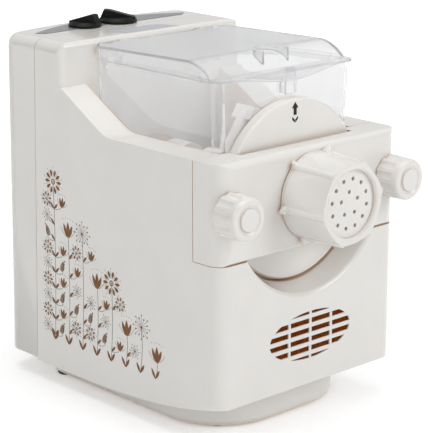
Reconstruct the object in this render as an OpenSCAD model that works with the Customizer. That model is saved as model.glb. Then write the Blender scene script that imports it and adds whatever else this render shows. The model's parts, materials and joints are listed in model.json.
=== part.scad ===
// Electric pasta maker: a housing with a tower at the back, a clear mixing bowl with a hinged lid,
// a front disc with a threaded barrel held by a clamp beam, and a geared drive inside.
// Origin: middle of the footprint, on the table. +X right seen from the front, -Y front, +Z up.

/* [Housing] */
// Width across the side walls
body_w = 197; // [185:1:210]
// Depth of the housing from its front face to the middle of the rear cover, at the table
body_d = 281; // [272:1:292]
// Wall thickness of the white mouldings
wall = 2.6; // [2:0.1:3.2]
// Height of the lower front edge above the table
front_edge_z = 33; // [30:0.5:38]
// Height of the lower side edge above the table
side_edge_z = 16; // [13:0.5:18]
// Distance behind the front face at which the underside becomes level
ramp_end = 160; // [140:1:175]
// Radius of the upright front corners
front_corner_r = 13; // [10:0.5:16]
// Radius of the upright rear corners
rear_corner_r = 18; // [13:1:26]
// How far the rear face bulges between its corners
rear_bulge = 12; // [4:1:16]
// Radius of the lower front corners, seen from the front
lower_corner_r = 11; // [6:0.5:14]
// Height of the shoulders beside the bowl
shoulder_z = 226.5; // [222:0.5:232]
// Depth of the tower from its front face to the rear
tower_depth = 94; // [88:1:100]
// Radius of the tower's upright front edges
tower_edge_r = 6; // [4:0.5:8]
// Height of the tower where the slope from the shoulders meets it
slope_top_z = 258; // [252:0.5:266]
// Angle of the slope between shoulder and tower
slope_angle = 30; // [24:1:40]
// Distance of the rear parting line in front of the rear, at the table
rear_seam_inset = 53; // [46:1:58]
// Lean of the rear parting line
rear_seam_lean = 1.5; // [1:0.5:3]
// Lean of the rear face
rear_lean = 1; // [0.6:0.2:2]

/* [Base] */
// Half width of the plinth
plinth_half_w = 82; // [74:1:86]
// Distance of the plinth's front behind the front face
plinth_front = 22; // [18:1:30]
// Distance of the plinth's back in front of the rear
plinth_rear_inset = 40; // [34:1:56]
// Radius of the plinth's front corners
plinth_r = 57; // [40:1:70]
// Radius of the plinth's rear corners
plinth_rear_r = 22; // [12:1:30]
// Height of the plinth's underside above the table
plinth_lift = 1; // [0.8:0.1:3]
// Radius of a rubber foot
foot_r = 7.5; // [6:0.5:9]

/* [Top] */
// Height of the top
top_z = 293.3; // [290:0.1:297]
// Radius of the edge round the top
top_edge_r = 9; // [5:0.5:11]
// Radius of the top's front edge
top_front_r = 4; // [2:0.5:7]
// Width of the rear cover's rim round the inset top cap
cap_inset = 11; // [10:0.5:12.5]
// Half width of the grey control plate
plate_half_w = 82; // [76:1:84]
// Distance of the control plate's curved edge in front of the rear
plate_rear_inset = 18.5; // [17.5:0.5:22]
// Depth of the control plate in the middle
plate_depth = 28; // [26:0.5:32]
// Depth of the curve along the control plate's rear edge
plate_sag = 22; // [18:1:24]
// Thickness of the control plate
plate_t = 1.6; // [1:0.1:2.5]
// Depth of the pale label plate
label_depth = 19; // [12:0.5:21]
// Half width of the label plate
label_half_w = 28; // [20:0.5:32]
// How far the label plate leans sideways over its depth
label_skew = 9; // [0:0.5:12]
// Distance of the left knob from the middle
mode_knob_x = -29; // [-40:1:-28]
// Distance of the right knob from the middle
timer_knob_x = 7; // [6:1:20]
// Radius of the left knob's skirt
mode_knob_r = 14; // [12:0.5:15]
// Radius of the right knob's skirt
timer_knob_r = 16.5; // [14:0.5:17.5]
// Height of a control knob
control_knob_h = 10.5; // [9:0.5:14]

/* [Bowl and lid] */
// Radius of the half-round bottom of the bowl
bowl_r = 70; // [68:0.5:71]
// How much wider the bowl is on each side at its rim
bowl_flare_w = 3.5; // [2:0.5:5]
// Distance of the bowl's front wall behind the front face
bowl_front = 29; // [28:0.5:32]
// Distance between the bowl's back wall and the tower
bowl_tower_gap = 11; // [10:0.5:14]
// Height of the bowl's rim
bowl_rim_z = 280; // [276:0.5:282]
// Radius of the bowl's upright corners
bowl_corner_r = 8; // [6:0.5:12]
// Clearance between the paddle's tips and the bowl
paddle_gap = 9.5; // [7:0.5:14]
// Wall of the clear bowl and lid
clear_wall = 2.4; // [2:0.1:3]
// Height of the lid at its back
lid_back_z = 291.5; // [288:0.5:293]
// Height of the lid where its front curve begins
lid_front_z = 295; // [292:0.5:297]
// Radius of the lid's front curve
lid_front_r = 37; // [30:1:42]
// Opening angle of the lid
lid_open_angle = 100; // [80:1:110]

/* [Nozzle and clamp] */
// Height of the mixing axis
axis_z = 188.5; // [187:0.5:190]
// Radius of the front disc
disc_r = 72; // [70:0.5:73]
// Distance of the front disc's face behind the front face
disc_y = 20; // [19:0.5:21]
// Thickness of the front disc
disc_t = 8.5; // [6:0.5:8.6]
// Width of the bowl's front wall round its mouth
mouth_lip = 10; // [8:0.5:13]
// Outer radius of the barrel
barrel_r = 28.4; // [27:0.2:29]
// Radius of the bore in the barrel
barrel_bore_r = 22.5; // [21:0.25:23]
// Reach of the nozzle nut in front of the front face
nut_reach = 43; // [40:0.5:46]
// Radius across the ridges of the nozzle nut at its back
nut_ridge_r = 36.6; // [35:0.2:38]
// Number of ridges on the nozzle nut
nut_ridges = 6; // [6,8]
// Distance of the nut's faces from its axis, at the front
nut_face_r = 31; // [30.6:0.1:31.8]
// Radius of the curve across each of the nut's faces
nut_bulge_r = 60; // [45:1:90]
// Thickness of the die
die_t = 5; // [4:0.25:6]
// Radius of the opening through which the die shows
die_window_r = 26.5; // [25:0.25:27]
// Radius of a pasta hole
die_hole_r = 1.6; // [1:0.05:1.8]
// Radius of the outer ring of pasta holes
die_ring_r = 19.3; // [17:0.1:20]
// Holes in the outer ring
die_ring_n = 12; // [8:1:14]
// Radius of the inner ring of pasta holes
die_inner_r = 9.3; // [7:0.1:11]
// Holes in the inner ring
die_inner_n = 5; // [3:1:6]
// Lower edge of the clamp beam
beam_bottom_z = 148; // [145:0.5:151]
// Depth of the clamp beam in front of the bowl
beam_t = 17; // [15:0.5:18]
// Depth of the clamp beam's ends, which wrap round the corners
beam_end_t = 29.4; // [27:0.2:31]
// Distance of a clamp knob's axis inside the side wall
clamp_inset = 10; // [9.5:0.5:14]
// Radius of a clamp knob at its base
clamp_knob_r = 17.5; // [15:0.5:18.5]
// Radius of a clamp knob at its face
clamp_face_r = 16.6; // [15:0.2:17]
// Reach of a clamp knob in front of the beam
clamp_knob_h = 22; // [18:0.5:26]
// Flutes round a clamp knob
clamp_flutes = 12; // [8:1:14]
// Radius of a clamp stud
stud_r = 4; // [3:0.25:4.5]

/* [Front recess and grille] */
// Radius of the recess round the disc, where it opens in the front face
recess_r = 79.5; // [77:0.5:82]
// Rounding of the recess's edge
recess_edge_r = 4; // [1:0.5:5]
// Thickness of the front wall at the grille
grille_web = 1.2; // [0.8:0.1:2]
// Half width of the oval grille
grille_half_w = 45; // [38:1:48]
// Half height of the oval grille
grille_half_h = 19.5; // [16:0.5:22]
// Height of the grille's centre
grille_z = 74; // [68:1:78]
// Pitch of the grille's rows
grille_row = 7.65; // [6.5:0.05:8.5]
// Height of one slot
grille_slot = 4.2; // [3:0.1:5]
// Pitch of the grille's columns
grille_column = 23.3; // [18:0.1:26]
// Width of an upright bar between the columns
grille_bar = 2.4; // [2:0.1:4]

/* [Drive] */
// Teeth on each driving pinion
pinion_teeth = 18; // [18:1:20]
// Teeth on each driven gear
gear_teeth = 54; // [48:1:56]
// Tooth module of the motor stage
module_1 = 1; // [1:0.02:1.04]
// Tooth module of the middle stage
module_2 = 1.1; // [1.06:0.02:1.14]
// Tooth module of the output stage
module_3 = 1.25; // [1.2:0.05:1.25]
// Play between meshing teeth, along the pitch circle
backlash = 0.2; // [0.15:0.01:0.3]
// Radius of the motor's can
motor_r = 27; // [24:1:29]
// Length of the motor's can
motor_len = 74; // [60:1:80]
// Radius of the motor shaft
motor_shaft_r = 3; // [2.5:0.25:3.5]
// Radius of the shafts in the gearbox
idler_shaft_r = 4; // [3:0.25:4.5]
// Radius of the output shaft
output_shaft_r = 7; // [6:0.5:8]
// Number of fan blades
fan_blades = 7; // [5:1:9]

/* [Fits] */
// Radial clearance of a turning shaft in its bore
run_fit = 0.06; // [0.04:0.01:0.09]
// Gap between parts that lie against each other
seat_gap = 0.1; // [0.05:0.05:0.2]
// Gap between mouldings that come apart
part_gap = 0.4; // [0.3:0.05:0.5]

/* [Hidden] */
eps = 0.01;
round_fn = 96;
small_fn = 40;
front_y = nut_reach - (body_d + nut_reach) / 2;
half_w = body_w / 2;
tall = 400;
beam_top_z = shoulder_z;
beam_h = beam_top_z - beam_bottom_z;
disc_back = disc_y + disc_t;
tower_y = body_d - tower_depth;
rear_seam_y = body_d - rear_seam_inset;
plinth_back = body_d - plinth_rear_inset;
plate_back = body_d - plate_rear_inset;
plate_front = plate_back - plate_depth;
bowl_back = tower_y - bowl_tower_gap;
bowl_rim_half_w = bowl_r + bowl_flare_w;
mouth_r = bowl_r - mouth_lip;
clamp_x = half_w - clamp_inset;
seam_slope = tan(rear_seam_lean);
rear_slope = tan(rear_lean);
ramp_rise = front_edge_z - side_edge_z;
ramp_r = (ramp_end * ramp_end + ramp_rise * ramp_rise) / (2 * ramp_rise);
lower_fade = 0.35;
// how far a corner's arc starts outside the plane that it runs into
arc_skim = 0.004;
slope_foot_y = tower_y - (slope_top_z - shoulder_z) / tan(slope_angle);
cradle_gap = 0.3;
cradle_r = bowl_r + cradle_gap;
cradle_rim_half_w = cradle_r + bowl_flare_w;
centre_1 = module_1 * (pinion_teeth + gear_teeth) / 2;
centre_2 = module_2 * (pinion_teeth + gear_teeth) / 2;
centre_3 = module_3 * (pinion_teeth + gear_teeth) / 2;
idler_2_z = axis_z - centre_3;
idler_1_z = idler_2_z - centre_2;
motor_z = idler_1_z - centre_1;
box_plate_t = 3;
box_front = tower_y + wall + 2.4;
gear_1_y = box_front + box_plate_t + 1.5;
gear_1_w = 6;
gear_2_y = gear_1_y + gear_1_w + 1.5;
gear_2_w = 7;
gear_3_y = gear_2_y + gear_2_w + 1.5;
gear_3_w = 8;
box_back = gear_3_y + gear_3_w + 1.5;
box_end = box_back + box_plate_t;
box_half_w = 40;
box_low_z = motor_z - 14;
box_high_z = axis_z + 40;
motor_back = box_front - seat_gap;
motor_front = motor_back - motor_len;
socket_y = bowl_back - 66;
bearing_r = output_shaft_r + 6;
bearing_w = 6;
recess_floor_r = disc_r + 2;
knob_y = plate_front + 7;
bow_r = (half_w * half_w + rear_bulge * rear_bulge) / (2 * rear_bulge);
bow_y = body_d - bow_r;
rear_corner_x = half_w - rear_corner_r;
rear_corner_y = bow_y + sqrt(pow(bow_r - rear_corner_r, 2) - pow(rear_corner_x, 2));
rear_corner_turn = atan(rear_corner_x / (rear_corner_y - bow_y));
well_front = plinth_front + 34;
cover_screw_x = half_w - rear_corner_r - 9;
cover_screw_z = [50, 150, 250];
gland_x = -30;
gland_z = 42;
hinge_y = (bowl_back + tower_y) / 2;
hinge_z = lid_back_z - 4;
hinge_pin_r = 1.6;
hinge_ear_r = 3.8;
hinge_x = 52;
hinge_w = 10;
barrel_front = -(nut_reach - 9);
die_y = barrel_front - seat_gap - die_t;
nut_front = -nut_reach;
nut_back = -0.8;
nut_bore_r = barrel_r + 0.35;
nut_turn = 10;

// ---------- outlines ----------

function unit(v) = v / norm(v);

// The bit between a corner p and the arc of radius r that rounds it; a and b are the neighbouring points.
module corner_bit(p, a, b, r) {
  u = unit(a - p);
  v = unit(b - p);
  half = acos(u * v) / 2;
  reach = r / tan(half);
  centre = p + unit(u + v) * r / sin(half);
  past = 0.3;
  difference() {
    polygon([p - (u + v) * past, p + u * reach - v * past, p + u * reach, centre, p + v * reach,
      p + v * reach - u * past]);
    translate(centre) circle(r, $fn = round_fn);
  }
}

module rounded_box(x0, y0, x1, y1, r0, r1) {
  difference() {
    translate([x0, y0]) square([x1 - x0, y1 - y0]);
    corner_bit([x0, y0], [x1, y0], [x0, y1], r0);
    corner_bit([x1, y0], [x0, y0], [x1, y1], r0);
    corner_bit([x0, y1], [x1, y1], [x0, y0], r1);
    corner_bit([x1, y1], [x0, y1], [x1, y0], r1);
  }
}

// Puts a shape drawn from the front face and the table into the part's frame.
module placed() {
  translate([0, front_y, 0]) children();
}

// A side outline, drawn as (distance behind the front face, height), given width across X.
module across(w) {
  translate([-w / 2, 0, 0]) rotate([90, 0, 90]) linear_extrude(w) children();
}

// A front outline, drawn as (X, height), given depth from y0 to y1.
module along(y0, y1) {
  translate([0, y1, 0]) rotate([90, 0, 0]) linear_extrude(y1 - y0) children();
}

// A round bar along the mixing direction.
module bar(x, z, r, y0, y1, fn = round_fn) {
  translate([x, y0, z]) rotate([-90, 0, 0]) cylinder(r = r, h = y1 - y0, $fn = fn);
}

module cone_bar(x, z, r0, r1, y0, y1) {
  translate([x, y0, z]) rotate([-90, 0, 0]) cylinder(r1 = r0, r2 = r1, h = y1 - y0, $fn = round_fn);
}

// ---------- housing ----------

function seam_y(z) = rear_seam_y - seam_slope * z;
function rear_y(z, x) = bow_y + sqrt(bow_r * bow_r - x * x) - rear_slope * z;

// Side outline of the housing, moved in by t. The back stays open when t is not zero.
module housing_side(t) {
  top = top_z - t;
  back = t > 0 ? 1 : -part_gap / 2;
  shift = t * tan(slope_angle / 2);
  foot = [slope_foot_y + shift, shoulder_z - t];
  peak = [tower_y + t, slope_top_z + t * tan(slope_angle) - t / cos(slope_angle)];
  points = [[t, side_edge_z - 5], [t, beam_bottom_z - part_gap - t],
    [beam_end_t + part_gap + t, beam_bottom_z - part_gap - t], [beam_end_t + part_gap + t, shoulder_z - t],
    foot, peak, [tower_y + t, top], [seam_y(top) + back, top], [seam_y(side_edge_z - 5) + back, side_edge_z - 5]];
  intersection() {
    difference() {
      union() {
        polygon(points);
        corner_bit(foot, points[3], peak, 32 + t);
      }
      corner_bit(points[6], peak, points[7], top_front_r - t);
    }
    union() {
      translate([ramp_end, side_edge_z + ramp_r]) circle(ramp_r - t, $fn = 360);
      translate([ramp_end, side_edge_z + t]) square([tall, tall]);
    }
  }
}

// What rounds the edge round the top, moved in by t: straight along the sides, then round the rear.
module top_edge_bit(reach, t) {
  corner_bit([reach - t, top_z - t], [0, top_z - t], [reach - t, 0], top_edge_r - t);
}

module top_edges(t, y0, y1) {
  for (side = [0, 1]) mirror([side, 0, 0]) along(y0, y1) top_edge_bit(half_w, t);
}

module housing_solid(t) {
  side_x = half_w - t;
  front = t - arc_skim;
  low = front_edge_z + t;
  difference() {
    across(2 * side_x) housing_side(t);
    for (side = [-1, 1]) {
      linear_extrude(tall) corner_bit([side * side_x, front], [0, front], [side * side_x, tall], front_corner_r - t);
      // the tower's upright edges
      translate([0, 0, slope_top_z + t]) linear_extrude(tall)
        corner_bit([side * side_x, tower_y + t - arc_skim], [0, tower_y + t - arc_skim],
          [side * side_x, tall], tower_edge_r - t);
      // the lower corners' rounding fades out along the underside
      multmatrix([[1, 0, 0, 0], [0, 1, 0, 0], [0, -lower_fade, 1, 0], [0, 0, 0, 1]]) along(-5, 75)
        corner_bit([side * side_x, low], [0, low], [side * side_x, tall], lower_corner_r - t);
    }
    top_edges(t, tower_y - 5, rear_seam_y + 5);
  }
}

// Cross-section of the pocket that the bowl drops into, moved out by t.
module cradle_outline(t) {
  translate([0, axis_z]) circle(cradle_r + t, $fn = round_fn);
  polygon([[-cradle_r - t, axis_z], [-cradle_rim_half_w - t, bowl_rim_z], [-cradle_rim_half_w - t, tall],
    [cradle_rim_half_w + t, tall], [cradle_rim_half_w + t, bowl_rim_z], [cradle_r + t, axis_z]]);
}

// Outline of the tray of the filter behind the grille, moved out by t.
module filter_outline(t) {
  rounded_box(-grille_half_w - 5 - t, grille_z - grille_half_h - 4 - t, grille_half_w + 5 + t,
    grille_z + grille_half_h + 4 + t, 6, 6);
}

module grille_slots() {
  rows = ceil(grille_half_h / grille_row);
  first = 0.5 - rows;
  intersection() {
    along(-1, wall + 1) translate([0, grille_z]) scale([grille_half_w / grille_half_h, 1])
      circle(grille_half_h, $fn = 72);
    union() {
      for (row = [first : rows - 0.5], column = [-2 : 1])
        translate([column * grille_column + grille_bar / 2, -1, grille_z + row * grille_row - grille_slot / 2])
          cube([grille_column - grille_bar, wall + 2, grille_slot]);
    }
  }
}

module housing_bosses() {
  // wall that carries the gearbox and passes the motor
  along(tower_y, tower_y + wall) translate([-half_w, side_edge_z])
    square([body_w, axis_z - side_edge_z]);
  bar(0, axis_z, bearing_r + 3, tower_y, box_front - 0.4);
  post_places() bar(0, 0, 5, tower_y, box_front - seat_gap, small_fn);
  for (side = [-1, 1]) {
    bar(side * clamp_x, axis_z, 8.6, beam_end_t + part_gap, beam_end_t + part_gap + 20);
    // pillars for the rear cover's screws
    for (z = cover_screw_z) bar(side * cover_screw_x, z, 5, tower_y, seam_y(z), small_fn);
  }
}

module main_housing() {
  color("linen") placed() difference() {
    union() {
      difference() {
        housing_solid(0);
        housing_solid(wall);
      }
      intersection() {
        housing_solid(0);
        union() {
          along(0, tower_y + wall) cradle_outline(wall);
          cone_bar(0, axis_z, recess_r + wall, recess_floor_r + wall, 0, disc_back + part_gap + wall);
          housing_bosses();
        }
      }
    }
    // pocket for the bowl, and the recess in front of it
    along(disc_y + 1, tower_y) cradle_outline(0);
    cone_bar(0, axis_z, recess_r, recess_floor_r, 0, disc_y);
    bar(0, axis_z, recess_floor_r, disc_y - eps, disc_back + part_gap);
    translate([0, 0, axis_z]) rotate([-90, 0, 0]) rotate_extrude($fn = round_fn)
      corner_bit([recess_r - arc_skim, -arc_skim], [recess_r + 50, -arc_skim],
        [recess_floor_r - arc_skim, disc_y], recess_edge_r);
    grille_slots();
    along(grille_web, wall + 1) filter_outline(seat_gap);
    on_top() translate([0, 0, -1]) linear_extrude(20) label_outline(-seat_gap);
    // sockets for the clamp studs
    for (side = [-1, 1]) bar(side * clamp_x, axis_z, stud_r + 2 + seat_gap, 20, beam_end_t + 16);
    // the drive passes through the tower's front wall, held by the front bearing
    bar(0, axis_z, bearing_r + seat_gap, tower_y - 1, box_front + 1);
    bar(0, motor_z, motor_r + 1.5, tower_y - 1, box_front);
    post_places() bar(0, 0, 2.1, tower_y + 1, box_front + 1, small_fn);
    // opening over the plinth, for the motor
    translate([-box_half_w - 8, well_front, -1]) cube([2 * box_half_w + 16, tower_y - 4 - well_front, side_edge_z + wall + 6]);
    // screw holes of the rear cover
    for (side = [-1, 1], z = cover_screw_z)
      bar(side * cover_screw_x, z, 1.6, seam_y(z) - 18, seam_y(z) + 5, small_fn);
    // screw holes of the plinth
    plinth_screw_places() cylinder(r = 1.6, h = 40, $fn = small_fn);
  }
}

// Rear cover: bulges between its corners and leans back going down, open to the front.
module rear_side(t) {
  low = side_edge_z + 2.5;
  front = t > 0 ? -1 : part_gap / 2;
  foot = [body_d + 5, low + t];
  polygon([[seam_y(low) + front, low + t], [seam_y(top_z) + front, top_z - t], [body_d + 5, top_z - t], foot]);
}

module rear_plan(t) {
  n = [sin(rear_corner_turn), cos(rear_corner_turn)];
  c = [rear_corner_x, rear_corner_y];
  difference() {
    intersection() {
      translate([-half_w + t, 0]) square([body_w - 2 * t, body_d + 10]);
      translate([0, bow_y]) circle(bow_r - t, $fn = 360);
    }
    for (side = [0, 1]) mirror([side, 0]) difference() {
      polygon([c, [half_w + 1, c[1]], [half_w + 1, c[1] + 40], c + n * (rear_corner_r + 9)]);
      translate(c) circle(rear_corner_r - t + arc_skim, $fn = round_fn);
    }
  }
}

// The rounding of the top edge along an arc about centre, between two angles.
module swept_edge(centre, reach, from, to, t) {
  far = 2 * reach;
  translate(centre) intersection() {
    rotate_extrude($fn = max(round_fn, ceil(reach / 2))) top_edge_bit(reach, t);
    linear_extrude(tall)
      polygon([[0, 0], for (a = [from, (from + to) / 2, to]) [far * cos(a), far * sin(a)]]);
  }
}

// The rounding of the top edge, carried round the rear corners and the bulging rear.
module rear_top_edges(t) {
  top_edges(t, seam_y(top_z) - 5, rear_corner_y);
  for (side = [0, 1]) mirror([side, 0, 0])
    swept_edge([rear_corner_x, rear_corner_y, 0], rear_corner_r, 0, 90 - rear_corner_turn, t);
  swept_edge([0, bow_y, 0], bow_r, 90 - rear_corner_turn, 90 + rear_corner_turn, t);
}

// The rear leans; its plan is true at the height of the top.
module leaning() {
  multmatrix([[1, 0, 0, 0], [0, 1, -rear_slope, 0], [0, 0, 1, 0], [0, 0, 0, 1]]) children();
}

module rear_solid(t) {
  difference() {
    intersection() {
      across(body_w - 2 * t) rear_side(t);
      leaning() linear_extrude(tall) rear_plan(t);
    }
    translate([0, -rear_slope * (top_z - top_edge_r), 0]) rear_top_edges(t);
  }
}

module rear_cover() {
  color("linen") placed() difference() {
    union() {
      difference() {
        rear_solid(0);
        rear_solid(wall);
      }
      intersection() {
        rear_solid(0);
        for (side = [-1, 1], z = cover_screw_z)
          bar(side * cover_screw_x, z, 5, seam_y(z) + part_gap, body_d + 5, small_fn);
      }
    }
    on_top() translate([0, 0, -wall - 1]) linear_extrude(20) cap_outline(0);
    // louvres behind the gearbox
    for (row = [0 : 8], side = [-1, 0, 1])
      translate([side * 36 - 15, body_d - 40, 84 + row * 9]) cube([30, 80, 3.6]);
    for (side = [-1, 1], z = cover_screw_z) {
      bar(side * cover_screw_x, z, 1.7, seam_y(z) - 2, body_d + 10, small_fn);
      bar(side * cover_screw_x, z, 3.4, seam_y(z) + 12, body_d + 10, small_fn);
    }
    bar(gland_x, gland_z, 7 + seat_gap, body_d - 30, body_d + 10);
  }
}

module rear_cover_screws() {
  color("silver") placed() for (side = [-1, 1], z = cover_screw_z) {
    bar(side * cover_screw_x, z, 1.5, seam_y(z) - 16, seam_y(z) + 12.3, small_fn);
    bar(side * cover_screw_x, z, 3, seam_y(z) + 12.2, seam_y(z) + 14.4, small_fn);
  }
}

// The grommet through which the mains lead leaves; the lead itself is left off.
module cord_gland() {
  back = rear_y(gland_z, gland_x);
  color("dimgray") placed() difference() {
    union() {
      bar(gland_x, gland_z, 7, back - wall - 6, back + 1);
      bar(gland_x, gland_z, 9, back + 1, back + 3.2);
      bar(gland_x, gland_z, 9, back - wall - 6, back - wall - 1);
    }
    bar(gland_x, gland_z, 3.6, back - 20, back + 10);
  }
}

// ---------- base ----------

module plinth_plan(inset) {
  rounded_box(-plinth_half_w + inset, plinth_front + inset, plinth_half_w - inset, plinth_back - inset,
    plinth_r - inset, plinth_rear_r - inset);
}

module below_ramp(gap) {
  across(body_w) difference() {
    translate([0, 0]) square([body_d, side_edge_z + ramp_rise]);
    union() {
      translate([ramp_end, side_edge_z + ramp_r]) circle(ramp_r + gap, $fn = 360);
      translate([ramp_end, side_edge_z - gap]) square([tall, tall]);
    }
  }
}

module foot_places() {
  for (side = [-1, 1]) {
    translate([side * (plinth_half_w - 26), plinth_front + 26, 0]) children();
    translate([side * (plinth_half_w - 9), plinth_back - 20, 0]) children();
  }
}

module plinth_screw_places() {
  for (side = [-1, 1], y = [plinth_front + 55, plinth_back - 40])
    translate([side * (plinth_half_w - 20), y, 0]) children();
}

module base_plinth() {
  color("linen") placed() difference() {
    intersection() {
      union() {
        hull() {
          translate([0, 0, plinth_lift]) linear_extrude(0.2) plinth_plan(5);
          translate([0, 0, plinth_lift + 1.6]) linear_extrude(0.2) plinth_plan(1.6);
          translate([0, 0, plinth_lift + 5]) linear_extrude(0.2) plinth_plan(0);
        }
        translate([0, 0, plinth_lift + 5]) linear_extrude(40) plinth_plan(0);
      }
      below_ramp(seat_gap);
    }
    difference() {
      translate([0, 0, plinth_lift + 3]) linear_extrude(60) plinth_plan(3);
      plinth_screw_places() cylinder(r = 5, h = 60, $fn = small_fn);
    }
    foot_places() translate([0, 0, plinth_lift - 1]) cylinder(r = foot_r + seat_gap, h = 2.6, $fn = round_fn);
    plinth_screw_places() {
      cylinder(r = 2, h = 60, $fn = small_fn);
      cylinder(r = 4, h = plinth_lift + 4, $fn = small_fn);
    }
    // cooling slots in front of the motor
    for (row = [0 : 4]) translate([-30, well_front + 10 + row * 10, -1]) cube([60, 4, plinth_lift + 6]);
  }
}

module rubber_feet() {
  color("black") placed() foot_places() {
    cylinder(r1 = foot_r - 1, r2 = foot_r, h = 1, $fn = round_fn);
    translate([0, 0, 1]) cylinder(r = foot_r, h = plinth_lift + 0.5, $fn = round_fn);
  }
}

module plinth_screws() {
  color("silver") placed() plinth_screw_places() {
    translate([0, 0, plinth_lift + 4]) cylinder(r = 1.5, h = side_edge_z - plinth_lift - 1, $fn = small_fn);
    translate([0, 0, plinth_lift + 1.9]) cylinder(r = 3, h = 2, $fn = small_fn);
    translate([0, 0, plinth_lift + 3.8]) cylinder(r = 1.5, h = 0.4, $fn = small_fn);
  }
}

// ---------- top ----------

// Outline of the top cap, moved in by t: it follows the rear at the height of the top.
module cap_outline(t) {
  intersection() {
    translate([0, -rear_slope * top_z]) rear_plan(cap_inset + t);
    translate([-half_w, seam_y(top_z) + 4 + t]) square([body_w, body_d]);
  }
}

module plate_outline(inset) {
  arc_r = (plate_half_w * plate_half_w + plate_sag * plate_sag) / (2 * plate_sag);
  end_y = plate_back - plate_sag;
  intersection() {
    translate([0, plate_back - arc_r]) circle(arc_r - inset, $fn = 180);
    polygon([[-plate_half_w + inset, tall], [-plate_half_w + inset, end_y],
      [-plate_half_w + 8 + inset, plate_front + inset], [plate_half_w - 8 - inset, plate_front + inset],
      [plate_half_w - inset, end_y], [plate_half_w - inset, tall]]);
  }
}

module on_top() {
  translate([0, 0, top_z]) children();
}

module knob_places() {
  for (x = [mode_knob_x, timer_knob_x]) translate([x, knob_y, 0]) children();
}

// Lies flush in the rear cover's top, held by a flange under its rim; the switches hang from it.
module top_cap() {
  color("linen") placed() on_top() difference() {
    union() {
      translate([0, 0, -wall]) linear_extrude(wall) cap_outline(seat_gap);
      difference() {
        translate([0, 0, -wall - 2]) linear_extrude(2 + eps) cap_outline(seat_gap);
        translate([0, 0, -wall - 3]) linear_extrude(5) cap_outline(3);
      }
      difference() {
        translate([0, 0, -wall - 2]) linear_extrude(2 - seat_gap) cap_outline(-2.5);
        translate([0, 0, -wall - 3]) linear_extrude(5) cap_outline(2);
      }
    }
    translate([0, 0, -plate_t]) linear_extrude(20) plate_outline(-seat_gap);
    knob_places() translate([0, 0, -10]) cylinder(r = 6 + seat_gap, h = 20, $fn = round_fn);
  }
}

module control_plate() {
  color("gray") placed() difference() {
    on_top() translate([0, 0, -plate_t + seat_gap]) linear_extrude(plate_t + 0.3) plate_outline(0);
    on_top() knob_places() translate([0, 0, -10]) cylinder(r = 3.4, h = 20, $fn = round_fn);
  }
}

module label_outline(inset) {
  front = tower_y + 4.5;
  polygon([[-label_half_w - label_skew / 2 + inset, front + label_depth - inset],
    [-label_half_w + label_skew / 2 + inset, front + inset],
    [label_half_w + label_skew / 2 - inset, front + inset],
    [label_half_w - label_skew / 2 - inset, front + label_depth - inset]]);
}

module label_plate() {
  color("silver") placed() on_top() translate([0, 0, -1 + seat_gap]) linear_extrude(1.1) label_outline(0);
}

// A pointer knob: a skirt, and a fin that falls from its tail to its nose.
module pointer_knob(r, turn) {
  difference() {
    rotate([0, 0, turn]) union() {
      cylinder(r = r, h = 1.6, $fn = round_fn);
      translate([0, 0, 1.6]) cylinder(r1 = r, r2 = r - 2.6, h = 2.4, $fn = round_fn);
      intersection() {
        translate([0, 4.5, 0]) rotate([90, 0, 0]) linear_extrude(9)
          polygon([[-r, 0], [-r + 1.5, 3], [-r * 0.72, control_knob_h - 0.6], [-r * 0.66, control_knob_h],
            [-r * 0.5, control_knob_h - 0.2], [r * 0.55, 5.6], [r * 0.9, 4.2], [r, 0]]);
        cylinder(r = r - 0.6, h = 40, $fn = round_fn);
        translate([-r, 0, control_knob_h - 12.4]) rotate([0, 90, 0])
          cylinder(r = 12.6, h = 2 * r, $fn = round_fn);
      }
    }
    translate([0, 0, -1]) difference() {
      cylinder(r = 3, h = 5.6, $fn = small_fn);
      translate([-4, 1.6, 0]) cube([8, 4, 9]);
    }
  }
}

// The flatted end of a switch's shaft, which turns with its knob.
module switch_shaft() {
  difference() {
    translate([0, 0, -14]) cylinder(r = 2.9, h = 18, $fn = small_fn);
    translate([-4, 1.5, -0.6]) cube([8, 4, 9]);
  }
}

module mode_knob() {
  color("black") placed() on_top() translate([mode_knob_x, knob_y, 0.7]) {
    pointer_knob(mode_knob_r, 115);
    switch_shaft();
  }
}

module timer_knob() {
  color("black") placed() on_top() translate([timer_knob_x, knob_y, 0.7]) {
    pointer_knob(timer_knob_r, -43);
    switch_shaft();
  }
}

// A rotary switch: its case hangs below the cap by its threaded collar and nut.
module switch_body(width, length, height) {
  top = -plate_t - seat_gap;
  low = -wall - 5;
  difference() {
    union() {
      translate([-width / 2, -length / 2, low - height]) cube([width, length, height]);
      translate([0, 0, low - eps]) cylinder(r = 6, h = top - low + eps, $fn = round_fn);
      translate([0, 0, low + 0.8]) cylinder(r = 9, h = -wall - seat_gap - low - 0.8, $fn = 6);
      for (x = [-width / 4, 0, width / 4])
        translate([x - 1.5, -3, low - height - 6]) cube([3, 0.8, 6 + eps]);
    }
    translate([0, 0, -16]) cylinder(r = 2.9 + run_fit, h = 20, $fn = small_fn);
  }
}

module mode_switch() {
  color("white") placed() on_top() translate([mode_knob_x, knob_y, 0]) switch_body(22, 26, 12);
}

module timer_switch() {
  color("white") placed() on_top() translate([timer_knob_x, knob_y, 0]) switch_body(34, 30, 20);
}

// ---------- bowl and lid ----------

module bowl_shape(t) {
  low_half = bowl_r - t;
  high_half = bowl_rim_half_w - t;
  r = bowl_corner_r - t;
  hull() {
    translate([0, 0, axis_z]) linear_extrude(0.1)
      rounded_box(-low_half, bowl_front + 2.2 + t, low_half, bowl_back - t, r, r);
    translate([0, 0, bowl_rim_z + (t > 0 ? 1 : -0.1)]) linear_extrude(0.1)
      rounded_box(-high_half, bowl_front + t, high_half, bowl_back - t, r, r);
  }
  bar(0, axis_z, low_half, bowl_front + 2.2 + t, bowl_back - t);
}

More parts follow.
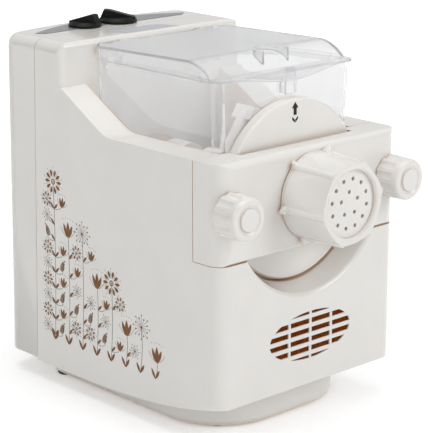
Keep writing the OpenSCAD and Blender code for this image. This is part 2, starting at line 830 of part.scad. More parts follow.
module hinge_ears(x, w) {
  for (side = [-1, 1])
    translate([side * x - w / 2, 0, 0]) rotate([90, 0, 90]) linear_extrude(w) {
      translate([hinge_y, hinge_z]) circle(hinge_ear_r, $fn = small_fn);
      polygon([[bowl_back - 1, bowl_rim_z - 10], [bowl_back - 1, bowl_rim_z - 0.5],
        [hinge_y - hinge_ear_r + 0.3, bowl_rim_z + 2], [hinge_y - hinge_ear_r + 0.05, hinge_z],
        [hinge_y + hinge_ear_r - 0.05, hinge_z], [hinge_y + hinge_ear_r - 1, bowl_rim_z - 1]]);
    }
}

module mixing_bowl() {
  color("lightblue", 0.4) placed() difference() {
    union() {
      difference() {
        bowl_shape(0);
        bowl_shape(clear_wall);
      }
      hinge_ears(hinge_x + hinge_w / 2 + 2.7, 4);
      hinge_ears(hinge_x - hinge_w / 2 - 2.7, 4);
      // collar that carries the shaft seal
      bar(0, axis_z, bearing_r + 5, bowl_back - clear_wall, tower_y - 1);
      // catch beside the lid's hook
      for (side = [-1, 1]) translate([side * 7 - 1, bowl_front - 2.6, bowl_rim_z - 15]) cube([2, 4, 10]);
    }
    bar(0, axis_z, mouth_r, 0, bowl_front + 8);
    bar(0, axis_z, output_shaft_r + 3 + seat_gap, bowl_back - 10, bowl_back + 20);
    for (side = [-1, 1])
      translate([side * hinge_x - 20, hinge_y, hinge_z]) rotate([0, 90, 0])
        cylinder(r = hinge_pin_r + seat_gap / 2, h = 40, $fn = small_fn);
  }
}

module bowl_seal() {
  color("whitesmoke") placed() difference() {
    bar(0, axis_z, mouth_r - seat_gap, disc_back + seat_gap, bowl_front + 4.4);
    bar(0, axis_z, mouth_r - 2.4, 0, bowl_front + 10);
  }
}

module lid_hinge_pins() {
  color("silver") placed() for (side = [-1, 1])
    translate([side * hinge_x - hinge_w / 2 - 4.4, hinge_y, hinge_z]) rotate([0, 90, 0])
      cylinder(r = hinge_pin_r, h = hinge_w + 8.8, $fn = small_fn);
}

module lid_side(t) {
  low = t > 0 ? bowl_rim_z - 1 : bowl_rim_z + part_gap;
  front = bowl_front - 1 + t;
  back = bowl_back - t;
  a = [front, low];
  b = [front, lid_front_z - t];
  c = [back, lid_back_z - t];
  difference() {
    polygon([a, b, c, [back, low]]);
    corner_bit(b, a, c, lid_front_r - t);
  }
}

module lid_front(t) {
  high = lid_front_z + 2 - t;
  low = t > 0 ? bowl_rim_z - 1 : bowl_rim_z + part_gap;
  half = bowl_rim_half_w - t;
  polygon([[-half, low], [-half + 0.8, high], [half - 0.8, high], [half, low]]);
}

module lid_solid(t) {
  intersection() {
    across(body_w) lid_side(t);
    along(0, body_d) lid_front(t);
    translate([0, 0, bowl_rim_z - 10]) linear_extrude(60)
      rounded_box(-bowl_rim_half_w + t, bowl_front - 1 + t, bowl_rim_half_w - t, bowl_back - t,
        bowl_corner_r - t, bowl_corner_r - t);
  }
}

module lid() {
  color("lightblue", 0.4) placed() difference() {
    union() {
      difference() {
        union() {
          lid_solid(0);
          lid_rim();
          lid_thumb_lift();
        }
        lid_solid(clear_wall);
      }
      // locating ribs inside the bowl's rim
      for (side = [-1, 1]) translate([side * (bowl_rim_half_w - clear_wall - 1.9) - 0.8, bowl_front + 22, bowl_rim_z - 3])
        cube([1.6, 100, 6]);
      for (side = [-1, 1]) translate([side * (bowl_rim_half_w - clear_wall - 1.1) - 1.6, bowl_front + 22,
        bowl_rim_z + part_gap + 0.6]) cube([3.2, 100, 2]);
      // hinge arms
      for (side = [-1, 1])
        translate([side * hinge_x - hinge_w / 2, 0, 0]) rotate([90, 0, 90]) linear_extrude(hinge_w) {
          translate([hinge_y, hinge_z]) circle(hinge_ear_r, $fn = small_fn);
          polygon([[bowl_back - 1.5, hinge_z - hinge_ear_r + 0.2], [bowl_back - 1.5, lid_back_z - 1.5],
            [hinge_y, hinge_z + hinge_ear_r - 0.05], [hinge_y, hinge_z - hinge_ear_r + 0.05]]);
        }
      // hook in front of the bowl
      translate([-5, bowl_front - 3.8, bowl_rim_z - 16]) cube([10, 2.2, 20]);
    }
    for (side = [-1, 1])
      translate([side * hinge_x - 20, hinge_y, hinge_z]) rotate([0, 90, 0])
        cylinder(r = hinge_pin_r + run_fit, h = 40, $fn = small_fn);
  }
}

// The lip that lies on the front half of the bowl's rim.
module lid_rim() {
  translate([0, 0, bowl_rim_z + part_gap]) linear_extrude(2) difference() {
    rounded_box(-bowl_rim_half_w - 0.8, bowl_front - 3, bowl_rim_half_w + 0.8, bowl_back, bowl_corner_r, 1);
    translate([-body_w / 2, bowl_front + 30]) square([body_w, body_w]);
  }
}

module lid_thumb_lift() {
  y = bowl_front + 17;
  high = lid_front_z + 1.5;
  difference() {
    translate([0, y, bowl_rim_z + 6]) cylinder(r = 15, h = high - bowl_rim_z - 6, $fn = round_fn);
    translate([0, y, bowl_rim_z + 5]) cylinder(r = 13.2, h = 40, $fn = round_fn);
    translate([-20, y - 40, bowl_rim_z + 5]) cube([40, 36, 40]);
  }
}

// ---------- clamp beam, front disc, nozzle ----------

module beam_plan() {
  difference() {
    rounded_box(-half_w, 0, half_w, beam_end_t, front_corner_r, 0.5);
    translate([-bowl_rim_half_w - 1, bowl_front - part_gap]) square([2 * (bowl_rim_half_w + 1), 40]);
  }
}

module beam_side() {
  difference() {
    translate([0, beam_bottom_z]) square([beam_end_t, beam_h]);
    corner_bit([0, beam_top_z], [beam_end_t, beam_top_z], [0, beam_bottom_z], 5);
    corner_bit([0, beam_bottom_z], [beam_end_t, beam_bottom_z], [0, beam_top_z], 3);
  }
}

module clamp_beam() {
  color("linen") placed() difference() {
    intersection() {
      translate([0, 0, beam_bottom_z]) linear_extrude(beam_h) beam_plan();
      across(body_w) beam_side();
    }
    // hollow from behind, with ribs and the bosses of barrel and studs
    difference() {
      translate([0, 0, beam_bottom_z + wall]) linear_extrude(beam_h - 2 * wall)
        rounded_box(-half_w + wall, wall, half_w - wall, 60, front_corner_r - wall, 0.5);
      for (x = [-56, -42, 42, 56]) translate([x - 1, 0, 0]) cube([2, beam_t - 1.5, tall]);
      bar(0, axis_z, barrel_r + 4, 0, beam_t);
      for (side = [-1, 1]) bar(side * clamp_x, axis_z, stud_r + 4.5, 0, beam_end_t);
    }
    bar(0, axis_z, disc_r + part_gap, beam_t, beam_end_t + 1);
    bar(0, axis_z, barrel_r + part_gap, -1, beam_end_t + 1);
    for (side = [-1, 1]) bar(side * clamp_x, axis_z, stud_r + run_fit, -1, beam_end_t + 1);
  }
}

module front_disc() {
  color("linen") placed() difference() {
    union() {
      difference() {
        union() {
          cone_bar(0, axis_z, disc_r - 1.5, disc_r, disc_y, disc_y + 1.5);
          bar(0, axis_z, disc_r, disc_y + 1.5, disc_back);
        }
        // hollowed between rim and barrel
        difference() {
          bar(0, axis_z, mouth_r - 5, disc_y + 3, disc_back + 1);
          bar(0, axis_z, barrel_r + 6, disc_y, disc_back + 1);
          for (k = [0 : 5]) translate([0, 0, axis_z]) rotate([0, 60 * k, 0])
            translate([-1, disc_y, 0]) cube([2, disc_t, disc_r]);
        }
      }
      // spigot in the bowl's mouth, inside the seal
      difference() {
        bar(0, axis_z, mouth_r - 2.5 - seat_gap, disc_back - 1, bowl_front + 5.5);
        bar(0, axis_z, mouth_r - 5, disc_back - 2, bowl_front + 8);
      }
      // barrel
      bar(0, axis_z, barrel_r, barrel_front, disc_y + 1);
      cone_bar(0, axis_z, barrel_r + 4, barrel_r, disc_back - 1, bowl_front + 9);
    }
    bar(0, axis_z, barrel_bore_r, barrel_front - 1, disc_back);
    cone_bar(0, axis_z, barrel_bore_r, barrel_bore_r + 3.5, disc_back - 2, bowl_front + 9.1);
  }
}

module clamp_knob(side) {
  x = side * clamp_x;
  flute_r = 7;
  edge = 2.6;
  difference() {
    union() {
      cone_bar(x, axis_z, clamp_face_r, clamp_knob_r, -clamp_knob_h, -part_gap);
      cone_bar(x, axis_z, clamp_face_r * 0.52, clamp_face_r * 0.55, -clamp_knob_h - 0.8, -clamp_knob_h + 1);
    }
    // rounded edge and a ring-shaped hollow in the face
    translate([x, 0, axis_z]) rotate([-90, 0, 0]) rotate_extrude($fn = round_fn)
      corner_bit([clamp_face_r, -clamp_knob_h], [0, -clamp_knob_h], [clamp_knob_r, 0], edge);
    difference() {
      cone_bar(x, axis_z, clamp_face_r * 0.7, clamp_face_r * 0.62, -clamp_knob_h - eps, -clamp_knob_h + 0.7);
      bar(x, axis_z, clamp_face_r * 0.55, -clamp_knob_h - 1, -clamp_knob_h + 2);
    }
    for (k = [0 : clamp_flutes - 1]) {
      a = 360 * (k + 0.5) / clamp_flutes;
      translate([x, 0, axis_z]) rotate([0, -a, 0]) translate([clamp_knob_r + flute_r - 0.9, 1, 0])
        rotate([90, 0, 0]) rotate([0, -2.5, 0]) cylinder(r = flute_r, h = clamp_knob_h - 4.5, $fn = small_fn);
    }
    bar(x, axis_z, stud_r - 0.4 + seat_gap, -clamp_knob_h + 6, 1);
    difference() {
      bar(x, axis_z, clamp_face_r - 4, -clamp_knob_h + 3, 1);
      bar(x, axis_z, stud_r + 2.2, -clamp_knob_h + 2, 2);
    }
  }
}

module left_clamp_knob() {
  color("linen") placed() clamp_knob(-1);
}

module right_clamp_knob() {
  color("linen") placed() clamp_knob(1);
}

module clamp_stud(side) {
  bar(side * clamp_x, axis_z, stud_r - 0.4, -clamp_knob_h + 6.2, 0.2);
  bar(side * clamp_x, axis_z, stud_r, 0, beam_end_t + 14);
}

module left_clamp_stud() {
  color("silver") placed() clamp_stud(-1);
}

module right_clamp_stud() {
  color("silver") placed() clamp_stud(1);
}

module stud_sockets() {
  color("goldenrod") placed() for (side = [-1, 1]) difference() {
    bar(side * clamp_x, axis_z, stud_r + 2, beam_end_t + part_gap + 0.2, beam_end_t + 15.8);
    bar(side * clamp_x, axis_z, stud_r + 0.3, beam_end_t - 5, beam_end_t + 20);
  }
}

module die() {
  color("white") placed() difference() {
    union() {
      bar(0, axis_z, barrel_r - 0.4, die_y, die_y + die_t);
      bar(0, axis_z, barrel_bore_r - 0.3, die_y + die_t - 1, die_y + die_t + 2);
    }
    for (k = [0 : die_ring_n - 1]) {
      a = 360 * k / die_ring_n + 20;
      bar(die_ring_r * cos(a), axis_z + die_ring_r * sin(a), die_hole_r, die_y - 1, die_y + die_t + 3, 24);
    }
    for (k = [0 : die_inner_n - 1]) {
      a = 360 * k / die_inner_n + 20;
      bar(die_inner_r * cos(a), axis_z + die_inner_r * sin(a), die_hole_r, die_y - 1, die_y + die_t + 3, 24);
    }
  }
}

// The nut's body: a drum with one gently curved face between each pair of ridges, leaning in towards the front.
module nut_body() {
  drum_r = nut_ridge_r - 2.2;
  lean = atan((drum_r + 0.4 - nut_face_r) / (nut_back - nut_front));
  difference() {
    cone_bar(0, axis_z, drum_r - 1.4, drum_r, nut_front, nut_back);
    for (k = [0 : nut_ridges - 1])
      translate([0, 0, axis_z]) rotate([0, -360 * (k + 0.5) / nut_ridges - nut_turn, 0])
        translate([nut_face_r, nut_front, 0]) rotate([0, 0, -lean]) difference() {
          translate([-3, -3, -25]) cube([12, 50, 50]);
          translate([-nut_bulge_r, -4, 0]) rotate([-90, 0, 0]) rotate([0, 0, 180])
            cylinder(r = nut_bulge_r, h = 60, $fn = 240);
        }
  }
}

module die_nut() {
  length = nut_back - nut_front;
  ridge_lean = 3;
  color("linen") placed() difference() {
    union() {
      nut_body();
      bar(0, axis_z, nut_ridge_r - 1.8, nut_back - 1.7, nut_back);
      for (k = [0 : nut_ridges - 1])
        translate([0, 0, axis_z]) rotate([0, -360 * k / nut_ridges - nut_turn, 0]) {
          // a ridge that leans in towards the front, and its ear at the back
          translate([nut_ridge_r - 4, nut_back, 0]) rotate([90, 0, 0]) rotate([0, -ridge_lean, 0])
            cylinder(r1 = 4, r2 = 3.6, h = length - 0.4, $fn = small_fn);
          translate([nut_ridge_r - 2, nut_back - 3.2, 0]) rotate([0, 90, 0])
            cylinder(r1 = 3.6, r2 = 1.6, h = 5, $fn = small_fn);
        }
    }
    bar(0, axis_z, nut_bore_r, die_y - 0.2, 2);
    bar(0, axis_z, die_window_r, nut_front - 2, 0);
    cone_bar(0, axis_z, die_window_r + 1.2, die_window_r, nut_front - eps, nut_front + 1.2);
    translate([-60, nut_back, axis_z - 60]) cube([120, 10, 120]);
  }
}

// ---------- mixing tools ----------

module auger() {
  core_r = 9;
  flight_r = barrel_bore_r - 0.9;
  y0 = die_y + die_t + 4;
  y1 = bowl_front + 35;
  color("white") placed() difference() {
    union() {
      bar(0, axis_z, core_r, y0, y1);
      cone_bar(0, axis_z, core_r + 6, core_r + 2, y1 - 6, y1);
      translate([0, y1 - 4, axis_z]) rotate([90, 0, 0])
        linear_extrude(y1 - 4 - y0 - 1, twist = -360 * 2.6, slices = 84)
          translate([0, -1.6]) square([flight_r, 3.2]);
      bar(0, axis_z, 13, y1 - 1, bowl_back - clear_wall - 6);
    }
    // hexagonal socket for the drive shaft
    bar(0, axis_z, 6.1, socket_y, bowl_back + 10, 6);
  }
}

module mixing_paddle() {
  arm_r = bowl_r - clear_wall - paddle_gap;
  hub_w = 22;
  peg_w = 34;
  rear_hub = bowl_back - 25;
  color("white") placed() difference() {
    union() {
      for (k = [0, 1]) {
        y = rear_hub - k * 2 * hub_w;
        bar(0, axis_z, 17, y - hub_w / 2, y + hub_w / 2);
        // an arm with its blade, and the peg that reaches forward from it
        translate([0, y, axis_z]) rotate([0, 215 - 180 * k, 0]) {
          cylinder(r = 6, h = arm_r - 4, $fn = small_fn);
          translate([-4, -hub_w / 2, arm_r - 12]) cube([8, hub_w, 12]);
          translate([-3, -peg_w + 1, arm_r - 8]) cube([6, peg_w, 8]);
        }
      }
    }
    bar(0, axis_z, 13 + seat_gap, rear_hub - 3 * hub_w, bowl_back);
  }
}

module drive_shaft() {
  color("silver") placed() {
    bar(0, axis_z, 6, socket_y + 2, bowl_back + 2, 6);
    bar(0, axis_z, output_shaft_r, bowl_back + 1, box_back + bearing_w + 1);
  }
}

module shaft_seal() {
  color("dimgray") placed() difference() {
    bar(0, axis_z, output_shaft_r + 3, bowl_back - clear_wall + 0.3, tower_y - 2);
    bar(0, axis_z, output_shaft_r + run_fit, bowl_back - 20, tower_y + 5);
  }
}

module output_bearing(y0, y1) {
  difference() {
    bar(0, axis_z, bearing_r, y0, y1);
    bar(0, axis_z, output_shaft_r + run_fit, y0 - 1, y1 + 1);
    for (face = [y0 - 1, y1 - 0.6]) difference() {
      bar(0, axis_z, bearing_r - 1.6, face, face + 1.6);
      bar(0, axis_z, output_shaft_r + 1.8, face - 1, face + 3);
    }
  }
}

module output_bearings() {
  color("silver") placed() {
    output_bearing(tower_y + 0.2, box_front - 0.4);
    output_bearing(box_back + seat_gap, box_back + bearing_w - seat_gap);
  }
}

// ---------- gears ----------

function involute_turn(r, base) = r <= base ? 0
  : sqrt(r * r / (base * base) - 1) * 180 / PI - acos(base / r);

// A spur gear's outline, with a tooth centred on +X.
module gear_outline(m, z) {
  pitch = m * z / 2;
  base = pitch * cos(20);
  tip = pitch + 0.95 * m;
  root = pitch - 1.2 * m;
  half_tooth = 90 / z - backlash / pitch * 45 / PI;
  start = max(root, base);
  steps = 3;
  flank = [for (k = [0 : steps]) let (r = start + (tip - start) * k / steps)
    [r, half_tooth + involute_turn(pitch, base) - involute_turn(r, base)]];
  tooth = concat([[root, -flank[0][1]]], [for (p = flank) [p[0], -p[1]]],
    [for (k = [steps : -1 : 0]) flank[k]], [[root, flank[0][1]]]);
  polygon([for (k = [0 : z - 1], p = tooth) let (a = 360 * k / z + p[1]) [p[0] * cos(a), p[0] * sin(a)]]);
}

// A gear about the mixing direction; turn is in degrees about its axis, seen from the front.
module gear(m, teeth, z, y, w, turn) {
  translate([0, y + w, z]) rotate([90, 0, 0]) rotate([0, 0, turn]) linear_extrude(w) gear_outline(m, teeth);
}

module output_gear() {
  turn = 90;
  color("goldenrod") placed() difference() {
    union() {
      difference() {
        gear(module_3, gear_teeth, axis_z, gear_3_y, gear_3_w, turn);
        for (y = [gear_3_y - 1, gear_3_y + gear_3_w - 1.5]) difference() {
          bar(0, axis_z, 28, y, y + 2.5);
          bar(0, axis_z, 12, y - 1, y + 4);
        }
      }
      bar(0, axis_z, 12, box_front + box_plate_t + 0.4, box_back - 0.4);
    }
    bar(0, axis_z, output_shaft_r + seat_gap / 4, box_front, box_end + 2);
  }
}

// A driven gear and the next stage's pinion on one shaft.
module idler(m_gear, gear_y, gear_w, m_pinion, pinion_y, pinion_w, z, turn) {
  gear(m_gear, gear_teeth, z, gear_y, gear_w, turn);
  gear(m_pinion, pinion_teeth, z, pinion_y, pinion_w, turn + 180 / pinion_teeth);
  bar(0, z, idler_shaft_r, box_front - 1, box_end + 1);
  bar(0, z, idler_shaft_r + 2.4, box_front + box_plate_t + 0.4, box_back - 0.4);
}

module second_idler() {
  color("silver") placed() idler(module_2, gear_2_y, gear_2_w, module_3, gear_3_y, gear_3_w, idler_2_z, 90);
}

module first_idler() {
  color("silver") placed() idler(module_1, gear_1_y, gear_1_w, module_2, gear_2_y, gear_2_w, idler_1_z, 90);
}

module motor_pinion() {
  color("goldenrod") placed() difference() {
    union() {
      gear(module_1, pinion_teeth, motor_z, gear_1_y, gear_1_w, 90 + 180 / pinion_teeth);
    }
    bar(0, motor_z, motor_shaft_r + seat_gap / 4, box_front, box_end);
  }
}

module box_outline() {
  difference() {
    translate([-box_half_w, box_low_z]) square([2 * box_half_w, box_high_z - box_low_z]);
    for (side = [-1, 1], z = [box_low_z, box_high_z])
      corner_bit([side * box_half_w, z], [0, z], [side * box_half_w, (box_low_z + box_high_z) / 2], 8);
  }
}

module post_places() {
  for (side = [-1, 1], z = [box_low_z + 8, (idler_1_z + idler_2_z) / 2, box_high_z - 8])
    translate([side * (box_half_w - 6), 0, z]) children();
}

module gearbox_front_plate() {
  color("darkgray") placed() difference() {
    along(box_front, box_front + box_plate_t) box_outline();
    bar(0, axis_z, output_shaft_r + 1, 0, body_d);
    bar(0, idler_2_z, idler_shaft_r + run_fit, 0, body_d);
    bar(0, idler_1_z, idler_shaft_r + run_fit, 0, body_d);
    bar(0, motor_z, motor_shaft_r + 1.5, 0, body_d);
    post_places() rotate([-90, 0, 0]) cylinder(r = 2.1, h = body_d, $fn = small_fn);
  }
}

module gearbox_rear_plate() {
  color("darkgray") placed() difference() {
    union() {
      along(box_back, box_end) box_outline();
      bar(0, axis_z, bearing_r + 3, box_back, box_back + bearing_w + 1.5);
    }
    bar(0, axis_z, bearing_r + seat_gap, box_back - 2, box_back + bearing_w);
    bar(0, axis_z, output_shaft_r + 1, 0, body_d);
    bar(0, idler_2_z, idler_shaft_r + run_fit, 0, body_d);
    bar(0, idler_1_z, idler_shaft_r + run_fit, 0, body_d);
    post_places() rotate([-90, 0, 0]) cylinder(r = 2.1, h = body_d, $fn = small_fn);
  }
}

module gearbox_posts() {
  color("silver") placed() post_places() difference() {
    bar(0, 0, 4, box_front + box_plate_t + seat_gap, box_back - seat_gap, small_fn);
    bar(0, 0, 2.1, 0, body_d, small_fn);
  }
}

module gearbox_screws() {
  color("dimgray") placed() post_places() {
    bar(0, 0, 2, tower_y + 1.3, box_end + 0.3, small_fn);
    bar(0, 0, 3.6, box_end + 0.2, box_end + 2.6, 6);
  }
}

// ---------- motor ----------

module motor_stator() {
  color("dimgray") placed() difference() {
    bar(0, motor_z, motor_r, motor_front + 8, motor_back - 8);
    bar(0, motor_z, motor_r * 0.52, motor_front - 1, motor_back + 1);
    for (k = [0 : 5]) bar((motor_r + 1) * cos(60 * k), motor_z + (motor_r + 1) * sin(60 * k), 3,
      motor_front, motor_back, small_fn);
  }
}

module motor_windings() {
  color("peru") placed() for (end = [motor_front + 3, motor_back - 8 + seat_gap]) difference() {
    bar(0, motor_z, motor_r - 5, end, end + 5 - seat_gap);
    bar(0, motor_z, motor_r * 0.58, end - 1, end + 7);
    for (k = [0 : 3]) rotate([0, 0, 0]) translate([0, 0, motor_z]) rotate([0, 45 + 90 * k, 0])
      translate([-1.5, end - 1, 0]) cube([3, 8, motor_r]);
  }
}

module motor_end_shields() {
  color("silver") placed() for (end = [motor_front, motor_back - 2.8]) difference() {
    union() {
      bar(0, motor_z, motor_r - 1, end, end + 2.8);
      bar(0, motor_z, motor_shaft_r + 4, end, end + 2.8);
    }
    bar(0, motor_z, motor_shaft_r + run_fit, 0, body_d);
    for (k = [0 : 5])
      bar((motor_r - 11) * cos(60 * k + 30), motor_z + (motor_r - 11) * sin(60 * k + 30), 5, 0, body_d,
        small_fn);
  }
}

module motor_rotor() {
  color("silver") placed() {
    bar(0, motor_z, motor_shaft_r, motor_front - 20, gear_1_y + gear_1_w + 1);
    bar(0, motor_z, motor_r * 0.52 - 0.8, motor_front + 10, motor_back - 10);
  }
}

module cooling_fan() {
  hub_r = 7;
  fan_r = motor_r - 1;
  y = motor_front - 14;
  color("white") placed() difference() {
    union() {
      bar(0, motor_z, hub_r, y, y + 10);
      for (k = [0 : fan_blades - 1]) translate([0, y + 5, motor_z]) rotate([0, 360 * k / fan_blades, 0])
        rotate([0, 0, 32]) translate([-0.8, -5, 0]) cube([1.6, 10, fan_r]);
    }
    bar(0, motor_z, motor_shaft_r + seat_gap / 4, y - 2, y + 12);
  }
}

// Stands on the plinth's floor and carries the motor in two saddles.
module motor_cradle() {
  floor_z = plinth_lift + 3 + seat_gap;
  color("darkgray") placed() difference() {
    union() {
      for (y = [motor_front + 12, motor_back - 24])
        translate([-motor_r + 1, y, floor_z]) cube([2 * motor_r - 2, 5, motor_z - floor_z - 6]);
      translate([-motor_r - 8, motor_front + 6, floor_z]) cube([2 * motor_r + 16, motor_len - 22, 3]);
    }
    bar(0, motor_z, motor_r + seat_gap, 0, body_d);
    for (y = [motor_front, motor_back - 30]) bar(0, floor_z + 20, 9, y, y + 20);
  }
}

module vent_filter() {
  y = grille_web + seat_gap;
  color("saddlebrown") placed() difference() {
    along(y, y + 4) filter_outline(0);
    along(y + 1.6, y + 6) filter_outline(-2.5);
  }
}

// ---------- assembly ----------

main_housing();
rear_cover();
top_cap();
control_plate();
label_plate();
base_plinth();
rubber_feet();
vent_filter();
mixing_bowl();
bowl_seal();
lid_hinge_pins();
lid();
clamp_beam();
front_disc();
left_clamp_knob();
right_clamp_knob();
left_clamp_stud();
right_clamp_stud();
stud_sockets();
die();
die_nut();
auger();
mixing_paddle();
drive_shaft();
shaft_seal();
output_bearings();
output_gear();
second_idler();
first_idler();
gearbox_front_plate();
gearbox_rear_plate();
gearbox_posts();
gearbox_screws();
motor_stator();
motor_windings();
motor_end_shields();
motor_rotor();
motor_pinion();
cooling_fan();
motor_cradle();
mode_knob();
timer_knob();
mode_switch();
timer_switch();
cord_gland();
rear_cover_screws();
plinth_screws();
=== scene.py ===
import json
import math

import bmesh
import bpy
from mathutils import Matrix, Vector


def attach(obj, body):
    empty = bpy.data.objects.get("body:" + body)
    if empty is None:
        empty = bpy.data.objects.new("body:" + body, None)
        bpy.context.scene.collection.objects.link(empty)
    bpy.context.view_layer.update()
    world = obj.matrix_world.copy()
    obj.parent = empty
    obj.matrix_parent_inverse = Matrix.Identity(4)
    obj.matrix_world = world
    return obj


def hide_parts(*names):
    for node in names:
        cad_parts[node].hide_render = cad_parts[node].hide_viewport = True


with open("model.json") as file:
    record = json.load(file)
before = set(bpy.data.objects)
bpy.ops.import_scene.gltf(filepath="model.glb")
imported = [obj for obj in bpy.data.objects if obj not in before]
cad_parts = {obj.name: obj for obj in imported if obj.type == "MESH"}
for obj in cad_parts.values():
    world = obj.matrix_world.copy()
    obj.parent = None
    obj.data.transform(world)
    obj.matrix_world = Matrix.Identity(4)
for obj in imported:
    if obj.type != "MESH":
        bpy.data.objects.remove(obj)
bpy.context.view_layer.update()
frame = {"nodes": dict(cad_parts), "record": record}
nodes = frame["nodes"]

MM = 0.001
FRONT_Y = -119.0          # the front plane's place in the row frame, in mm
HALF_W = 98.5             # half the width of the housing, in mm
DISC_FRONT = 20           # how far the front disc's face lies behind the front plane, in mm


def place(x, y, z):
    """A point given in mm from the middle, the front plane and the table, in the row frame."""
    return Vector((x * MM, (y + FRONT_Y) * MM, z * MM))


def linked(name, data):
    """A new object in the scene."""
    new = bpy.data.objects.new(name, data)
    bpy.context.scene.collection.objects.link(new)
    return new


# ---------- camera ----------

# The camera was fitted to the photograph, whose longer side is IMAGE_PX.
IMAGE_PX = 433
FOCAL_PX = 1772
SHIFT_PX = -1.5
SENSOR = 36                            # in mm
AZIMUTH, ELEVATION = -42.82, 15.45     # in degrees
CAMERA_AT = (-955.4, -922.8, 537.1)    # in mm, as place takes them


def make_camera():
    """The camera that took the photograph, as far as its picture tells."""
    azimuth, elevation = math.radians(AZIMUTH), math.radians(ELEVATION)
    data = bpy.data.cameras.new("camera")
    camera = linked("camera", data)
    data.sensor_width = SENSOR
    data.lens = FOCAL_PX / IMAGE_PX * SENSOR
    data.clip_start, data.clip_end = 0.05, 100
    data.shift_x = SHIFT_PX / IMAGE_PX
    camera.location = place(*CAMERA_AT)
    aim = Vector((-math.sin(azimuth) * math.cos(elevation), math.cos(azimuth) * math.cos(elevation),
                  -math.sin(elevation)))
    camera.rotation_euler = aim.to_track_quat("-Z", "Y").to_euler()
    bpy.context.scene.camera = camera


# ---------- materials ----------

# Radii by which edges look softened, and the reach of the painted shade in crevices, in metres.
MOULDED_EDGE = 0.0005
CLEAR_EDGE = 0.0006
CUT_EDGE = 0.0003
PAINTED_SHADE_REACH = 0.013

# How far the roughness wanders to each side of its mean.
PLASTIC_SPREAD = 0.03
BRUSHED_SPREAD = 0.08

WHITE = (1, 1, 1, 1)


class Nodes:
    """The node tree of a material or a world, with short ways to add and join nodes."""

    def __init__(self, owner, output):
        owner.use_nodes = True
        self.owner = owner
        self.tree = owner.node_tree
        self.tree.nodes.clear()
        self.out = self.add(output)
        self.coords = self.add("ShaderNodeTexCoord").outputs

    def add(self, kind, **values):
        n = self.tree.nodes.new(kind)
        for key, value in values.items():
            if hasattr(n, key):
                setattr(n, key, value)
            else:
                n.inputs[key.replace("_", " ")].default_value = value
        return n

    def join(self, a, b):
        self.tree.links.new(a, b)

    def noise(self, scale, detail=3.0, stretch=None):
        n = self.add("ShaderNodeTexNoise", Scale=scale, Detail=detail)
        source = self.coords["Object"]
        if stretch:
            mapping = self.add("ShaderNodeMapping")
            mapping.inputs["Scale"].default_value = stretch
            self.join(source, mapping.inputs["Vector"])
            source = mapping.outputs["Vector"]
        self.join(source, n.inputs["Vector"])
        return n.outputs["Fac"]

    def ramp(self, value, low, high, a=0.35, b=0.65):
        """Goes from low to high while value goes from a to b, and stays level outside."""
        n = self.add("ShaderNodeMapRange")
        n.inputs["From Min"].default_value = a
        n.inputs["From Max"].default_value = b
        n.inputs["To Min"].default_value = low
        n.inputs["To Max"].default_value = high
        self.join(value, n.inputs["Value"])
        return n.outputs["Result"]

    def mix(self, factor, dark, light):
        """Mixes two colours; light may also be the output of another node."""
        n = self.add("ShaderNodeMix", data_type="RGBA")
        n.inputs[6].default_value = (*dark, 1)
        if isinstance(light, tuple):
            n.inputs[7].default_value = (*light, 1)
        else:
            self.join(light, n.inputs[7])
        self.join(factor, n.inputs["Factor"])
        return n.outputs[2]

    def bump(self, height, strength, distance, normal=None):
        n = self.add("ShaderNodeBump", Strength=strength, Distance=distance)
        self.join(height, n.inputs["Height"])
        if normal is not None:
            self.join(normal, n.inputs["Normal"])
        return n.outputs["Normal"]

    def bevel(self, radius):
        return self.add("ShaderNodeBevel", samples=4, Radius=radius).outputs["Normal"]

    def larger(self, a, b):
        n = self.add("ShaderNodeMath", operation="MAXIMUM")
        self.join(a, n.inputs[0])
        self.join(b, n.inputs[1])
        return n.outputs[0]

    def switch(self, factor, off, on):
        """The shader off where factor is 0, and on where it is 1."""
        n = self.add("ShaderNodeMixShader")
        self.join(factor, n.inputs[0])
        self.join(off.outputs[0], n.inputs[1])
        self.join(on.outputs[0], n.inputs[2])
        return n

    def finish(self, shader):
        self.join(shader.outputs[0], self.out.inputs["Surface"])
        return self.owner


def material_nodes(name):
    return Nodes(bpy.data.materials.new(name), "ShaderNodeOutputMaterial")


def shade(colour, k):
    return tuple(min(1.0, c * k) for c in colour)


def plastic(name, colour, rough, vary=0.012, grain=1400, depth=0.00002, coat=0.0, metallic=0.0, gloss=0.5,
            soft=0.0, crevice_shade=None):
    """Moulded plastic or metal: mottling, grain, softened edges and, where given, a colour of painted shade
    for crevices.
    """
    m = material_nodes(name)
    shader = m.add("ShaderNodeBsdfPrincipled")
    tone = m.mix(m.ramp(m.noise(26), 0, 1), shade(colour, 1 - vary), shade(colour, 1 + vary))
    # Painted shade: where ambient occlusion finds crevices, recesses and gaps between parts, the colour turns
    # to a warm brown shade.
    if crevice_shade:
        open_air = m.add("ShaderNodeAmbientOcclusion", samples=4, Distance=PAINTED_SHADE_REACH).outputs["AO"]
        tone = m.mix(m.ramp(open_air, 0, 1, 0.05, 0.55), crevice_shade, tone)
    m.join(tone, shader.inputs["Base Color"])
    m.join(m.ramp(m.noise(60), rough - PLASTIC_SPREAD, rough + PLASTIC_SPREAD), shader.inputs["Roughness"])
    shader.inputs["Metallic"].default_value = metallic
    shader.inputs["Coat Weight"].default_value = coat
    shader.inputs["Coat Roughness"].default_value = 0.08
    shader.inputs["Specular IOR Level"].default_value = gloss
    if soft:
        shader.inputs["Subsurface Weight"].default_value = soft
        shader.inputs["Subsurface Radius"].default_value = (1.0, 0.62, 0.42)
        shader.inputs["Subsurface Scale"].default_value = 0.004
    m.join(m.bump(m.noise(grain, 2.0), 0.12, depth, m.bevel(MOULDED_EDGE)), shader.inputs["Normal"])
    return m.finish(shader)


